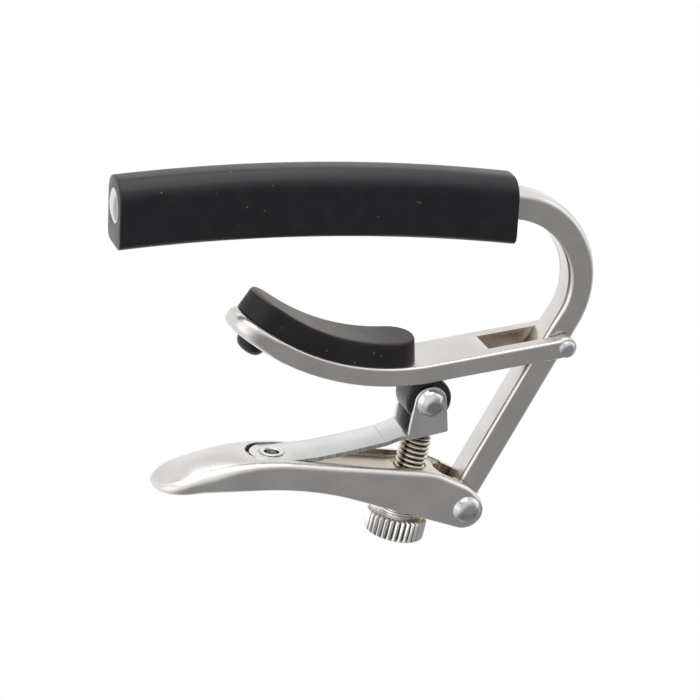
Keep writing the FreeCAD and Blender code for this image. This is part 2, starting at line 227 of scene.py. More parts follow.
def skin(loops):
    """Faces between loops of equal length, each a closed ring of points, with both ends closed."""
    bm = bmesh.new()
    rings = [[bm.verts.new(point) for point in loop] for loop in loops]
    for near, far in zip(rings, rings[1:]):
        for i in range(len(near)):
            j = (i + 1) % len(near)
            bm.faces.new((near[i], near[j], far[j], far[i]))
    bm.faces.new(rings[0][::-1])
    bm.faces.new(rings[-1])
    return bm


def arc(centre, radius, start, end, count):
    """Points on a circle in a plane, evenly spaced between two angles in degrees."""
    turns = [math.radians(turn) for turn in spread(start, end, count)]
    return [(centre[0] + radius * math.cos(turn), centre[1] + radius * math.sin(turn)) for turn in turns]


def mirrored(side):
    """Whole outline of (y, height) points from its half on the positive side."""
    return side + [(-y, height) for y, height in reversed(side)]


def crosswise(origin, up, outline):
    """Loop of an outline of (y, height) points, set across a piece at a point of its middle."""
    return [origin + SIDE * y + up * height for y, height in outline]


def section(origin, up, half, low, high, low_edge, high_edge, steps=5):
    """Rounded rectangle of a half width across Y, from low to high along up."""
    most = min(half, (high - low) / 2) * 0.98
    low_edge = min(low_edge, most)
    high_edge = min(high_edge, most)
    side = arc((half - low_edge, low + low_edge), low_edge, -90, 0, steps + 1)
    side += arc((half - high_edge, high - high_edge), high_edge, 0, 90, steps + 1)
    return crosswise(origin, up, mirrored(side))


def round_plan(run, radius):
    """Half width of a half-round end, at a distance run from its very tip."""
    if run >= radius:
        return radius
    return math.sqrt(max(radius ** 2 - (radius - run) ** 2, 1e-4))


def fall(inside, edge):
    """How far a rounded rim has dropped at a distance inside its outline."""
    if inside >= edge:
        return 0.0
    return edge - math.sqrt(max(edge ** 2 - (edge - inside) ** 2, 0.0))


def tablet_section(origin, up, run, half, low, high, low_edge, high_edge, steps=10, fill=8):
    """Section of a plate whose end is half round in plan and whose rim is rounded all the way.

    run is the distance from the tip, half the plate's half width and the tip's radius.
    """
    def surface(level, edge, sign):
        row = []
        for depth in end_runs(edge, steps):
            wide = half - depth
            if run < half:
                wide = math.sqrt(max(wide ** 2 - (half - run) ** 2, 0.0))
            row.append(wide)
        row += [row[-1] * (1 - i / fill) for i in range(1, fill + 1)]
        points = []
        for y in row:
            inside = half - (math.hypot(half - run, y) if run < half else y)
            points.append((y, level - sign * fall(max(inside, 0.0), edge)))
        return points

    most = (high - low) / 2 * 0.98
    upper = surface(high, min(high_edge, most), 1)
    lower = surface(low, min(low_edge, most), -1)
    outline = upper + [(-y, z) for y, z in upper[-2::-1]]
    outline += [(-y, z) for y, z in lower] + [(y, z) for y, z in lower[-2::-1]]
    return crosswise(origin, up, outline)


def fade(value, start, end):
    """One before start, nought after end, and smooth between."""
    part = min(max((value - start) / (end - start), 0.0), 1.0)
    return 1 - part * part * (3 - 2 * part)


def end_runs(radius, count=14):
    """Distances from a half-round tip, crowded towards the tip."""
    return [radius * (1 - math.cos(math.radians(90 * i / count))) for i in range(count + 1)]


def ring(centre, axis, across, radii):
    """Loop round an axis, one radius for each of its evenly spaced points."""
    other = axis.cross(across)
    points = []
    for i, radius in enumerate(radii):
        turn = 2 * math.pi * i / len(radii)
        points.append(centre + (across * math.cos(turn) + other * math.sin(turn)) * radius)
    return points


def lathe(name, profile, centre, axis, turns=64, angle=32.0):
    """Solid of revolution: profile holds (along, radius), the ends closed on the axis."""
    across = axis.orthogonal().normalized()
    loops = []
    for along, radius in profile:
        loops.append(ring(centre + axis * along, axis, across, [max(radius, 1e-3)] * turns))
    return finish_mesh(name, skin(loops), angle)


def two_sided(side):
    """Whole profile of a piece with two like ends, from its positive half."""
    return [(-along, radius) for along, radius in reversed(side)] + side


def dome(foot, radius, tall, edge):
    """Profile of a shallow spherical cap, from just inside its rim to its top."""
    ball = (radius ** 2 + tall ** 2) / (2 * tall)
    reach = math.degrees(math.asin((radius - edge) / ball))
    return arc((foot + tall - ball, 0), ball, reach, 1, 14)


def prism(outline, half_wide, y_middle=0.0):
    """Cutter or plain plate: a closed XZ outline given a width along Y."""
    sides = (y_middle - half_wide, y_middle + half_wide)
    return skin([[at(x, z, y) for x, z in outline] for y in sides])


def apply_modifiers(piece):
    """Turns a piece's modifiers into its final mesh."""
    bpy.context.view_layer.update()
    graph = bpy.context.evaluated_depsgraph_get()
    mesh = bpy.data.meshes.new_from_object(piece.evaluated_get(graph))
    piece.modifiers.clear()
    piece.data = mesh
    mesh.shade_smooth()
    mesh.set_sharp_from_angle(angle=math.radians(48))
    return piece


def combine(piece, operation, *others):
    """Cuts other solids out of a piece or merges them into it, and uses them up."""
    for other in others:
        tool = piece.modifiers.new("combine", "BOOLEAN")
        tool.operation = operation
        tool.solver = "EXACT"
        tool.object = other
    apply_modifiers(piece)
    for other in others:
        bpy.data.objects.remove(other)
    return piece


def soften(piece, edge, angle=40.0, segments=2):
    """Small rounded bevel on every corner sharper than the given angle."""
    bevel = piece.modifiers.new("edge", "BEVEL")
    bevel.width = edge
    bevel.segments = segments
    bevel.limit_method = "ANGLE"
    bevel.angle_limit = math.radians(angle)
    bevel.use_clamp_overlap = True
    bevel.miter_outer = "MITER_ARC"
    return apply_modifiers(piece)


def cylinder_cutter(centre, axis, radius, low, high):
    return lathe("cutter", [(low, radius), (high, radius)], centre, axis, 48)


# ---- shared outlines ----

ARCH_CENTRE = at(*BEND_CENTRE) - slope(ARCH_END) * (ARCH_RADIUS - BEND_RADIUS)
SLEEVE_LOW = -ARCH_CENTRE.z - FRAME_LIFT + SLEEVE_RISE
SCREW_AXIS = slope(90 - SCREW_LEAN)


def arch_height(x, radius):
    """Height at x of a circle about the arch's centre."""
    return ARCH_CENTRE.z + math.sqrt(radius ** 2 - (x - ARCH_CENTRE.x) ** 2)


def leg_slope():
    """Angle of the straight leg, which runs from the lever pivot tangent to the bend."""
    reach = at(*BEND_CENTRE) - at(*LEVER_PIVOT)
    return math.degrees(math.atan2(reach.z, reach.x) - math.asin(BEND_RADIUS / reach.length))


def arm_spans():
    """Runs at which the bend becomes shank and tip, towards the tip, and the shank's length."""
    reach = at(*ARM_PIVOT) - at(*ARM_CENTRE)
    touch = math.atan2(reach.z, reach.x) - math.acos(ARM_RADIUS / reach.length)
    shank_turn = math.pi / 2 + touch
    shank_long = math.sqrt(reach.length ** 2 - ARM_RADIUS ** 2)
    return -shank_turn * ARM_RADIUS, math.radians(ARM_TIP_SLOPE) * ARM_RADIUS, shank_long


def arm_station(run):
    """Point on the arm's middle and the upward direction there."""
    shank, tip, _ = arm_spans()
    inside = max(min(run, tip), shank)
    turn = math.degrees(inside / ARM_RADIUS)
    up = slope(90 - turn)
    return at(*ARM_CENTRE) - up * ARM_RADIUS - slope(-turn) * (run - inside), up


def belt(circles, step):
    """Closed outline round oriented circles (x, z, radius), joined by tangent lines.

    The circles are listed anticlockwise.  A negative radius is a hollow stretch, and a
    zero radius a sharp corner.  Arcs are drawn in steps of about the given degrees.
    """
    touch = []
    for i, (x1, z1, r1) in enumerate(circles):
        x2, z2, r2 = circles[(i + 1) % len(circles)]
        normal = math.atan2(z2 - z1, x2 - x1) + math.acos((r2 - r1) / math.hypot(x2 - x1, z2 - z1))
        out = (math.cos(normal), math.sin(normal))
        touch.append(((x1 - out[0] * r1, z1 - out[1] * r1), (x2 - out[0] * r2, z2 - out[1] * r2)))
    points = []
    for i, (x, z, radius) in enumerate(circles):
        arrive = touch[i - 1][1]
        leave = touch[i][0]
        if not radius:
            points.append((x, z))
            continue
        first = math.atan2(arrive[1] - z, arrive[0] - x)
        sweep = (math.atan2(leave[1] - z, leave[0] - x) - first) % (2 * math.pi)
        if radius < 0:
            sweep -= 2 * math.pi
        count = max(3, int(abs(math.degrees(sweep)) / step) + 2)
        points += arc((x, z), abs(radius), math.degrees(first), math.degrees(first + sweep), count)
    return points


def heights(outline, x):
    """Lowest and highest point of an outline at the given x."""
    found = []
    for (x1, z1), (x2, z2) in zip(outline, outline[1:] + outline[:1]):
        if min(x1, x2) <= x <= max(x1, x2) and x1 != x2:
            found.append(z1 + (z2 - z1) * (x - x1) / (x2 - x1))
    return min(found), max(found)


def lever_outline(sink=0.0):
    """Side outline of the lever, with its top sunk by the given depth."""
    tip_x, tip_z, tip_radius = LEVER_TIP
    sunk = [(x, z, radius - sink) for x, z, radius in (LEVER_NOSE, LEVER_NAPE, LEVER_SHOULDER, LEVER_CREST)]
    return belt([(tip_x, tip_z - sink, tip_radius), LEVER_BELLY] + sunk, 1.0)


# ---- frame bar and sleeve ----

def bar_path():
    """Points and outward directions along the bar's middle, from the sleeve end to the foot."""
    path = []
    for x in spread(BAR_LEFT_END, BEND_CENTRE[0] + math.cos(math.radians(ARCH_END)) * BEND_RADIUS, 40):
        point = at(x, arch_height(x, ARCH_RADIUS))
        path.append((point, (point - ARCH_CENTRE).normalized()))
    for turn in spread(ARCH_END, leg_slope() - 90, 48)[1:]:
        path.append((at(*BEND_CENTRE) + slope(turn) * BEND_RADIUS, slope(turn)))
    out = slope(leg_slope() - 90)
    foot = at(*LEVER_PIVOT)
    start = path[-1][0]
    for part in spread(0, 1, 12)[1:]:
        path.append((start.lerp(foot, part), out))
    return path


def chamfer_wide(point):
    """Width of the bar's inner chamfer: nearly nothing at the sleeve, widest low in the bend."""
    spoke = point - at(*BEND_CENTRE)
    turn = math.degrees(math.atan2(spoke.z, spoke.x))
    if turn > 0:
        least, amount = BAR_CHAMFER_SLEEVE, fade(turn, *CHAMFER_FADE_ABOVE)
    else:
        least, amount = BAR_CHAMFER_LEG, fade(-turn, *CHAMFER_FADE_BELOW)
    return least + (BAR_CHAMFER - least) * amount


def bar_section(point, out, half=BAR_THICK / 2):
    """Outer corners are rounded; inner corners are cut off flat."""
    wide = BAR_WIDE / 2
    flat = min(chamfer_wide(point), half * 0.9)
    edge = min(BAR_OUTER_EDGE, half * 0.98)
    blend = 0.05
    step = 0.02
    corner = [(wide - flat - blend, -half), (wide - flat, step - half),
              (wide - step, flat - half), (wide, flat - half + blend)]
    corner += arc((wide - edge, half - edge), edge, 0, 90, 9)
    return crosswise(point, out, mirrored(corner))


def make_frame_bar():
    """Bent bar with a round foot at the lever pivot and a shallow dome at the sleeve end."""
    path = bar_path()
    path[0] = (path[0][0].lerp(path[1][0], 0.2), path[0][1])
    loops = [bar_section(point, out) for point, out in path]
    foot, out = path[-1]
    down = slope(leg_slope()) * -1
    for tall, past in arc((0, 0), BAR_THICK / 2, 0, 84, 13)[1:]:
        loops.append(bar_section(foot + down * past, out, tall))
    bar = finish_mesh("bar_steel_body", skin(loops))
    deep, radius = DOME_PLUG
    profile = [(-deep, radius), (0.0, radius), (0.0, BAR_DOME_RADIUS - 0.02), (0.05, BAR_DOME_RADIUS)]
    profile += dome(0.0, BAR_DOME_RADIUS, BAR_DOME_TALL, BAR_DOME_EDGE)
    end = at(BAR_LEFT_END, arch_height(BAR_LEFT_END, ARCH_RADIUS))
    return combine(bar, "UNION", lathe("dome", profile, end, slope(180 + END_LEAN), 64, 40))


def make_sleeve():
    """Rubber tube with two parallel cut ends and the bar's own channel through it."""
    left, right = SLEEVE_ENDS
    lean = math.tan(math.radians(END_LEAN))
    rim = [(0.0, SLEEVE_RIM), (SLEEVE_RIM * 0.3, SLEEVE_RIM * 0.3), (SLEEVE_RIM, 0.0)]
    stops = [(left + past, inset) for past, inset in rim]
    stops += [(x, 0.0) for x in spread(left + 1, right - 1, 60)]
    stops += [(right - past, inset) for past, inset in reversed(rim)]
    loops = []
    for x, inset in stops:
        low = arch_height(x, SLEEVE_LOW)
        loop = section(at(x, 0), UP, SLEEVE_WIDE / 2 - inset, low + inset, low + SLEEVE_TALL - inset,
                       SLEEVE_BOTTOM_EDGE, SLEEVE_TOP_EDGE, 10)
        for point in loop:
            above = point.z - low
            point.x = x - (above - SLEEVE_TALL / 2) * lean
            point.z = arch_height(point.x, SLEEVE_LOW) + above
        loops.append(loop)
    return combine(finish_mesh("sleeve_rubber_tube", skin(loops)), "DIFFERENCE", make_channel_cutter())


def make_channel_cutter():
    """The bar's way through the sleeve, run on past both of its ends."""
    beyond = 2
    path = [(point, out) for point, out in bar_path() if point.x < BEND_CENTRE[0] + beyond]
    before = path[0][0] - (path[1][0] - path[0][0]).normalized() * beyond
    after = path[-1][0] + slope(ARCH_END - 90) * beyond
    path = [(before, path[0][1])] + path + [(after, path[-1][1])]
    half = BAR_THICK / 2 + CHANNEL_GAP
    wide = BAR_WIDE / 2 + CHANNEL_GAP
    loops = [section(point, out, wide, -half, half, CHANNEL_EDGE, BAR_OUTER_EDGE) for point, out in path]
    return finish_mesh("cutter", skin(loops))


# ---- arm, neck pad and bumper ----

def make_arm():
    """Flat curved arm with a half-round tip, an eye at its pivot and a slot for the bar's leg."""
    shank, tip, shank_long = arm_spans()
    tip_run = tip + ARM_TIP_RUN
    half = ARM_THICK / 2
    wide = ARM_WIDE / 2
    runs = [tip_run - run for run in end_runs(wide)]
    runs += spread(runs[-1], tip, 4)[1:] + spread(tip, shank, 46)[1:]
    runs += spread(shank, shank - shank_long, 16)[1:]
    loops = []
    for run in runs:
        point, up = arm_station(run)
        past = tip_run - run
        edge = ARM_EDGE + (ARM_TIP_EDGE - ARM_EDGE) * fade(past, wide * 0.8, wide * 1.9)
        loops.append(tablet_section(point, up, past, wide, -half, half, edge, edge))
    along = Vector((up.z, 0, -up.x))
    for tall, past in arc((0, 0), half, 0, 84, 10)[1:]:
        place = point + along * past
        loops.append(tablet_section(place, up, wide * 2, wide, -tall, tall, ARM_EDGE, ARM_EDGE))
    arm = combine(finish_mesh("arm_steel_body", skin(loops)), "UNION", make_arm_eye())
    return soften(combine(arm, "DIFFERENCE", make_arm_slot_cutter()), ARM_CUT_EDGE)


def make_arm_slot_cutter():
    """Straight slot that runs down the shank and out past the pivot."""
    long = 60
    tall = 20
    slot = prism([(0, -tall), (long, -tall), (long, tall), (0, tall)], ARM_SLOT_WIDE / 2)
    bmesh.ops.rotate(slot, verts=slot.verts, matrix=Matrix.Rotation(-math.radians(ARM_SHANK_SLOPE), 3, "Y"))
    bmesh.ops.translate(slot, verts=slot.verts, vec=at(ARM_SLOT_START, ARM_PIVOT[1]))
    return finish_mesh("cutter", slot)


def make_arm_eye():
    """Round eye at the arm's pivot."""
    side = arc((ARM_WIDE / 2 - ARM_EDGE, ARM_EYE_RADIUS - ARM_EDGE), ARM_EDGE, 90, 0, 6)
    return lathe("eye", two_sided(side), at(ARM_PIVOT[0], ARM_PIVOT[1] + ARM_EYE_RISE), SIDE, 48)


def make_neck_pad():
    """Moulded rubber pad: half-round ends, a crisp rounded rim and a barely rounded edge at its foot."""
    left_run = arm_spans()[1] + PAD_LEFT_RUN
    right_run = -math.radians(PAD_RIGHT_ANGLE) * ARM_RADIUS
    half = PAD_WIDE / 2
    foot = ARM_THICK / 2
    top = foot + PAD_THICK
    runs = [left_run - run for run in end_runs(half, 16)]
    runs += spread(left_run - half, right_run + half, 50)[1:-1]
    runs += [right_run + run for run in reversed(end_runs(half, 16))]
    loops = []
    for run in runs:
        point, up = arm_station(run)
        past = min(left_run - run, run - right_run)
        loops.append(tablet_section(point, up, past, half, foot, top, PAD_FOOT_EDGE, PAD_EDGE, 7, 6))
    return finish_mesh("neck_pad_rubber", skin(loops), 50)


def make_bumper():
    """Rubber button pressed into the arm's tip: a low dome with a rounded rim."""
    point, up = arm_station(arm_spans()[1] + BUMPER_RUN)
    deep, plug = BUMPER_PLUG
    profile = [(deep, plug), (0, plug), (0, BUMPER_RADIUS)]
    for wide, tall in arc((0, 0), 1, 0, 88, 14):
        profile.append((-BUMPER_TALL * tall ** 0.9, BUMPER_RADIUS * wide ** 0.7))
    return lathe("bumper_rubber_button", profile, point - up * (ARM_THICK / 2), up, 48, 60)


# ---- lever ----

def lever_section(x, outline, left, right):
    """Section of the lever at x, with rounder edges and a crowned top along the tab."""
    low, high = heights(outline, x)
    half = LEVER_WIDE / 2 - (LEVER_LOW_EDGE - round_plan(right - x, LEVER_LOW_EDGE))
    near_tip = fade(x, *TAB_EDGE_FADE)
    low_edge = LEVER_LOW_EDGE + (TAB_LOW_EDGE - LEVER_LOW_EDGE) * near_tip
    top_edge = LEVER_TOP_EDGE + (TAB_TOP_EDGE - LEVER_TOP_EDGE) * near_tip
    past = x - LEVER_TAB_CENTRE_X + LEVER_TAB_RADIUS
    loop = tablet_section(at(x, 0), UP, past, half, low, high,
                          min(low_edge, (high - low) * 0.45), min(top_edge, (high - low) * 0.5))
    crown = TAB_CROWN * (1 - fade(x, left, TAB_CROWN_X)) * fade(x, TAB_CROWN_X, TAB_CROWN_END)
    middle = (low + high) / 2
    for point in loop:
        above = max(point.z - middle, 0.0) / (high - middle)
        point.z += crown * above * (1 - (point.y / half) ** 2)
    return loop


def make_lever():
    """Cast lever: a tapering tab, a crowned back with a pocket, and a fork round the bar's leg."""
    outline = lever_outline()
    left = min(x for x, _ in outline)
    right = max(x for x, _ in outline)
    nose = LEVER_NOSE[2]
    tiny = 0.01
    xs = [left + tiny + run for run in end_runs(LEVER_TAB_RADIUS)]
    xs += spread(xs[-1], right - nose, 130)[1:]
    xs += [right - tiny - run for run in reversed(end_runs(nose - tiny, 12))][1:]
    lever = finish_mesh("lever_steel_body", skin([lever_section(x, outline, left, right) for x in xs]))
    return soften(combine(lever, "DIFFERENCE", *lever_cutters()), LEVER_CUT_EDGE)


def lever_cutters():
    """Pocket, fork slot with its round end, screw hole and rivet hole."""
    low = LEVER_FLOOR
    high = low + 40
    half = LEVER_SLOT_WIDE / 2
    middle = LEVER_SLOT_START + half
    right = LEVER_NOSE[0] + 10
    slot = prism([(middle, low), (right, low), (right, high), (middle, high)], half)
    return [make_pocket_cutter(), finish_mesh("cutter", slot),
            cylinder_cutter(at(middle, 0), UP, half + 0.001, low, high),
            cylinder_cutter(at(*SCREW_FOOT), SCREW_AXIS, SCREW_RADIUS + 0.1, -8, 12),
            cylinder_cutter(at(EYELET_X, 0), UP, EYELET_TUBE_RADIUS, low, 0)]


def make_pocket_cutter():
    """Recess in the lever's back that follows its crest, half round at the tab end."""
    outline = lever_outline()
    floor = lever_outline(POCKET_DEEP)
    half = POCKET_WIDE / 2
    lead = 3
    over = 2
    xs = [POCKET_LEFT_END + run for run in end_runs(half, 12)]
    xs += spread(xs[-1], POCKET_RIGHT_END, 130)[1:]
    loops = []
    for x in xs:
        ramp = 1 - fade(x, SCREW_FOOT[0] - lead, POCKET_RIGHT_END - lead)
        low = heights(floor, x)[1] + (POCKET_DEEP - POCKET_END_DEEP) * ramp
        high = heights(outline, x)[1] + over
        wide = round_plan(x - POCKET_LEFT_END, half)
        loops.append(section(at(x, 0), UP, wide, low, high, POCKET_EDGE, 0.1, 3))
    return finish_mesh("cutter", skin(loops))


# ---- strap, its rivet and the roller ----

def strap_top(x):
    """Height of the strap's upper face at x."""
    for (x1, z1), (x2, z2) in zip(STRAP_TOP, STRAP_TOP[1:]):
        if x <= x2 + 1e-6:
            return z1 + (z2 - z1) * (x - x1) / (x2 - x1)
    return STRAP_TOP[-1][1]


def make_strap():
    """Sheet steel strap with crisp edges and a scored fold, its clevis of two ears at its end."""
    left = STRAP_TOP[0][0]
    right = STRAP_TOP[-1][0]
    half = STRAP_WIDE / 2
    xs = [left + run for run in end_runs(half)]
    for x, _ in STRAP_TOP[1:-1]:
        xs += [x - BEND_REACH, x, x + BEND_REACH]
    xs += [STRAP_FOLD - SCORE_HALF, STRAP_FOLD + SCORE_HALF]
    xs += [FLARE_START, CLEVIS_START + 0.5, right - 0.1, right]
    loops = []
    for x in sorted(set(xs)):
        high = strap_top(x)
        low = high - STRAP_THICK
        if x == STRAP_FOLD:
            high -= SCORE_DEEP
        wide = round_plan(x - left, half)
        if x > FLARE_START:
            wide = min(CLEVIS_WIDE / 2, half + (x - FLARE_START) * FLARE_RATE)
        loops.append(section(at(x, 0), UP, wide, low, high, STRAP_EDGE, STRAP_EDGE, 2))
    strap = finish_mesh("strap_steel_sheet", skin(loops), 12)
    ear = belt([(x, z - EAR_ROOT, 0) for x, z in EAR_FOOT] + [(*ROLLER_AXIS, EAR_RADIUS)], 6)
    for side in (-1, 1):
        plate = prism(ear, STRAP_THICK / 2, side * (CLEVIS_WIDE - STRAP_THICK) / 2)
        combine(strap, "UNION", soften(finish_mesh("ear", plate), EAR_EDGE, 60, 4))
    hole = cylinder_cutter(at(EYELET_X, 0), UP, EYELET_TUBE_RADIUS + 0.2, LEVER_FLOOR, 0)
    sunk = cylinder_cutter(at(EYELET_X, 0), UP, EYELET_FLANGE_RADIUS + 0.14, STRAP_TOP[0][1] - 0.3, 0)
    combine(strap, "DIFFERENCE", hole, sunk)
    strap.data.set_sharp_from_angle(angle=math.radians(24))
    return strap


def make_eyelet():
    """Hollow rivet with a low flat rim, rounded into its hole."""
    profile = [(-EYELET_LONG, 0.01), (-EYELET_LONG, EYELET_TUBE_RADIUS), (-EYELET_SEAT, EYELET_TUBE_RADIUS),
               (-EYELET_SEAT, EYELET_FLANGE_RADIUS - 0.12), (0.05, EYELET_FLANGE_RADIUS)]
    profile += arc((0.05, EYELET_FLANGE_RADIUS - EYELET_RIM), EYELET_RIM, 90, 0, 5)
    profile += arc((-0.1, EYELET_HOLE_RADIUS + EYELET_LIP), EYELET_LIP, 0, -100, 8)
    profile += [(-2.0, EYELET_HOLE_RADIUS), (-2.3, 0.01)]
    return lathe("eyelet_steel_ring", profile, at(EYELET_X, STRAP_TOP[0][1] + 0.02), UP, 56, 50)


def make_roller():
    """Black plastic roller with rounded rims, between the ears."""
    half = ROLLER_LONG / 2
    side = arc((half - ROLLER_EDGE, ROLLER_RADIUS - ROLLER_EDGE), ROLLER_EDGE, 90, 0, 7)
    side += [(half, ROLLER_HUB_RADIUS), (half - ROLLER_HUB_DEEP, ROLLER_HUB_RADIUS - 0.15)]
    return lathe("roller_plastic_wheel", two_sided(side), at(*ROLLER_AXIS), SIDE, 72)


def make_rivet(name, centre, sizes, grip):
    """Rivet along Y with a domed head at each end of its grip."""
    shank, head, tall = sizes
    end = grip / 2
    side = [(end - 0.2, shank), (end, head - 0.03), (end + RIVET_EDGE * 0.6, head)]
    side += dome(end, head, tall, RIVET_EDGE)
    return lathe(name, two_sided(side), at(*centre), SIDE, 64, 40)


# ---- thumbscrew ----

def screw_ring(height, radii):
    """Loop round the screw's axis at a height above its foot."""
    return ring(at(*SCREW_FOOT) + SCREW_AXIS * height, SCREW_AXIS, SIDE, radii)


def make_stud():
    """Threaded rod: one helical ridge at the thread's pitch, fading into a blunt cone."""
    turns = 64
    rows = int(SCREW_LONG / THREAD_PITCH * 14)
    loops = []
    for row in range(rows + 1):
        height = SCREW_LONG * row / rows
        blunt = SCREW_RADIUS - max(0.0, height - SCREW_LONG + SCREW_TIP)
        radii = []
        for i in range(turns):
            phase = (height / THREAD_PITCH + i / turns) % 1.0
            ridge = 0.5 + 0.5 * math.cos(2 * math.pi * phase)
            radii.append(min(SCREW_RADIUS - THREAD_DEPTH * (1 - ridge ** 0.6), blunt))
        loops.append(screw_ring(height, radii))
    return finish_mesh("stud_nickel_thread", skin(loops), 75)


def make_head():
    """Knurled head: straight rounded ridges, with turned edges above and below."""
    per_ridge = 10
    # Depth from the end, how far the turned edge lies inside the head, and the knurl's share there.
    edge = [(0, 0.75, 0), (0.04, 0.5, 0.3), (0.3, 0.08, 1), (0.5, 0, 1)]
    rows = [(deep - HEAD_TALL, inside, share) for deep, inside, share in edge]
    rows += [(-deep, inside, share) for deep, inside, share in reversed(edge)]
    loops = []
    for height, inside, share in rows:
        radii = []
        for i in range(KNURLS * per_ridge):
            phase = abs(2 * ((i / per_ridge) % 1.0) - 1)
            radii.append(HEAD_RADIUS - inside - KNURL_DEEP * share * phase ** 1.5)
        loops.append(screw_ring(height, radii))
    return finish_mesh("head_nickel_knurled", skin(loops), 38)


def make_collar():
    """Turned ring with fine grooves, under the lever."""
    edge = 0.1
    wide = (COLLAR_TALL - 2 * edge) / COLLAR_GROOVES
    floor = COLLAR_RADIUS - COLLAR_GROOVE_DEEP
    groove = [(0, COLLAR_RADIUS), (0.15, floor), (0.3, floor), (0.45, COLLAR_RADIUS)]
    profile = [(0, SCREW_RADIUS), (0, COLLAR_RADIUS - COLLAR_EDGE), (edge, COLLAR_RADIUS)]
    for i in range(COLLAR_GROOVES):
        profile += [(edge + wide * (i + 0.25 + part), radius) for part, radius in groove]
    profile += [(COLLAR_TALL - 0.08, COLLAR_RADIUS), (COLLAR_TALL, COLLAR_RADIUS - COLLAR_EDGE),
                (COLLAR_TALL, SCREW_RADIUS)]
    return lathe("collar_nickel_ring", profile, at(*SCREW_FOOT), SCREW_AXIS, 72, 30)


# ---- materials ----

def add_node(tree, kind, inputs=None, **settings):
    """New shader node with its settings, each input given as a value or as a link."""
    node = tree.nodes.new("ShaderNode" + kind)
    for name, value in settings.items():
        setattr(node, name, value)
    for name, value in (inputs or {}).items():
        if isinstance(value, bpy.types.NodeSocket):
            tree.links.new(value, node.inputs[name])
        else:
            node.inputs[name].default_value = value
    return node


def smooth_step(tree, value, start, end, low, high):
    """Smooth change from low to high as a value goes from start up to end."""
    inputs = {"Value": value, "From Min": start, "From Max": end, "To Min": low, "To Max": high}
    return add_node(tree, "MapRange", inputs, interpolation_type="SMOOTHSTEP").outputs["Result"]


